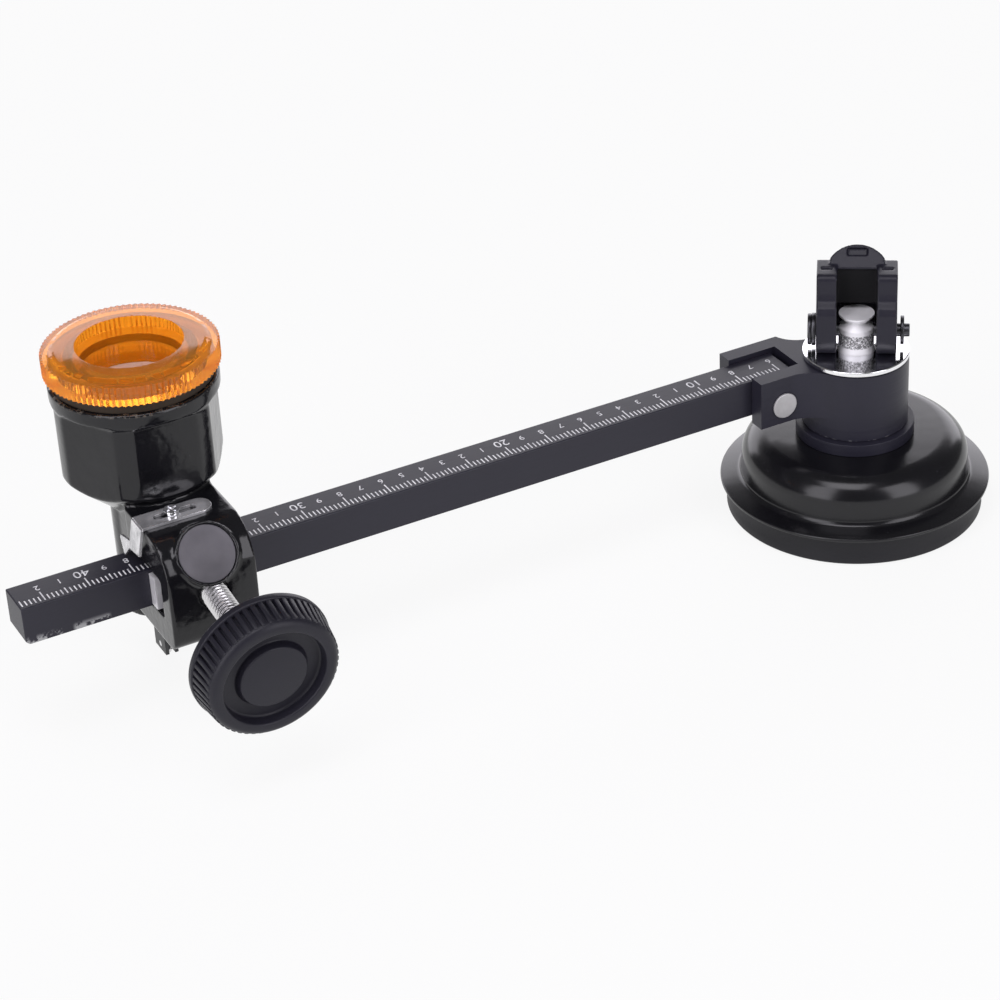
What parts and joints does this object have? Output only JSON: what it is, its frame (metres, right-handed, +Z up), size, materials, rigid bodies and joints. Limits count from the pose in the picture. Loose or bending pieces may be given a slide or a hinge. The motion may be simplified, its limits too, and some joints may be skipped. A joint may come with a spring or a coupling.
{
  "type": "glass circle cutter",
  "caption": "Compass-style glass circle cutter: lever suction base, hinged graduated bar, and a clamped carriage with an oil cup and cutting wheel.",
  "frame": {"origin": "centre of the suction face, on the plane that the tool stands on", "axes": "+Z up along the pivot of the arm, +X from the cutter carriage towards the suction base, -Y towards the clamp knob"},
  "size_m": [0.2353, 0.0855, 0.0785],
  "materials": {
    "rubber": "matt black rubber",
    "gloss_black": "glossy black paint, worn at the edges",
    "bracket_plastic": "satin dark plastic",
    "lever_plastic": "satin black plastic",
    "chrome": "bright chrome plating",
    "steel": "bright turned steel",
    "dark_steel": "blackened steel",
    "black_anodised": "black anodised with a white scale",
    "knob_plastic": "satin black plastic",
    "amber": "clear amber plastic",
    "seal_rubber": "dark brown rubber",
    "felt": "felt"
  },
  "bodies": {
    "base": {"suction_pad": "rubber", "base_housing": "gloss_black", "thrust_ring": "bracket_plastic", "top_washer": "chrome"},
    "stem": {"anchor_plate": "steel", "pull_stem": "steel", "lever_pin": "chrome", "pin_washer": "dark_steel", "pin_clip": "steel"},
    "lever": {"cam_lever": "lever_plastic"},
    "arm": {"arm_bracket": "bracket_plastic", "hinge_pin": "steel"},
    "bar": {"ruler_bar": "black_anodised"},
    "carriage": {"carriage_body": "gloss_black", "side_plug": "gloss_black", "pointer_screw": "steel", "oil_wick": "felt", "wheel_holder": "steel", "holder_screw": "dark_steel", "wheel_axle": "steel"},
    "gib": {"gib_plate": "steel"},
    "clamp": {"clamp_screw": "steel", "clamp_knob": "knob_plastic"},
    "pointer": {"pointer_plate": "chrome"},
    "seal": {"cap_seal": "seal_rubber"},
    "cap": {"oil_cap": "amber"},
    "wheel": {"cutter_wheel": "dark_steel"}
  },
  "joints": [
    {"name": "stem_lift", "type": "slide", "parent": "base", "child": "stem", "axis": [0, 0, 1], "range_m": [0, 0.00261]},
    {"name": "lever_fold", "type": "hinge", "parent": "stem", "child": "lever", "pos_m": [0, 0, 0.04515], "axis": [0.8251, -0.565, 0], "range_deg": [0, 90]},
    {"name": "arm_swivel", "type": "hinge", "parent": "base", "child": "arm", "pos_m": [0, 0, 0.031], "axis": [0, 0, 1], "continuous": true},
    {"name": "bar_pitch", "type": "hinge", "parent": "arm", "child": "bar", "pos_m": [-0.0203, 0.0079, 0.03195], "axis": [0, 1, 0], "range_deg": [-1, 12]},
    {"name": "carriage_slide", "type": "slide", "parent": "bar", "child": "carriage", "axis": [1, 0, 0], "range_m": [-0.028, 0.124]},
    {"name": "gib_slide", "type": "slide", "parent": "carriage", "child": "gib", "axis": [0, -0.9903, -0.1392], "range_m": [0, 0.002]},
    {"name": "clamp_turn", "type": "hinge", "parent": "gib", "child": "clamp", "pos_m": [-0.1652, 0.0001, 0.03537], "axis": [0, -0.9903, -0.1392], "range_deg": [0, 730]},
    {"name": "pointer_slide", "type": "slide", "parent": "carriage", "child": "pointer", "axis": [-1, 0, 0], "range_m": [0, 0.0045]},
    {"name": "seal_lift", "type": "slide", "parent": "carriage", "child": "seal", "axis": [0, 0, 1], "range_m": [0, 0.00401]},
    {"name": "cap_turn", "type": "hinge", "parent": "seal", "child": "cap", "pos_m": [-0.1652, 0.0272, 0.0759], "axis": [0, 0, 1], "range_deg": [0, 720]},
    {"name": "wheel_spin", "type": "hinge", "parent": "carriage", "child": "wheel", "pos_m": [-0.1652, 0.0272, 0.0026], "axis": [1, 0, 0], "continuous": true}
  ],
  "couplings": [
    {"joint": "stem_lift", "follows": "lever_fold", "m_per_rad": 0.0016552},
    {"joint": "clamp_turn", "follows": "gib_slide", "rad_per_m": 6283.2},
    {"joint": "seal_lift", "follows": "cap_turn", "m_per_rad": 0.00031831}
  ]
}
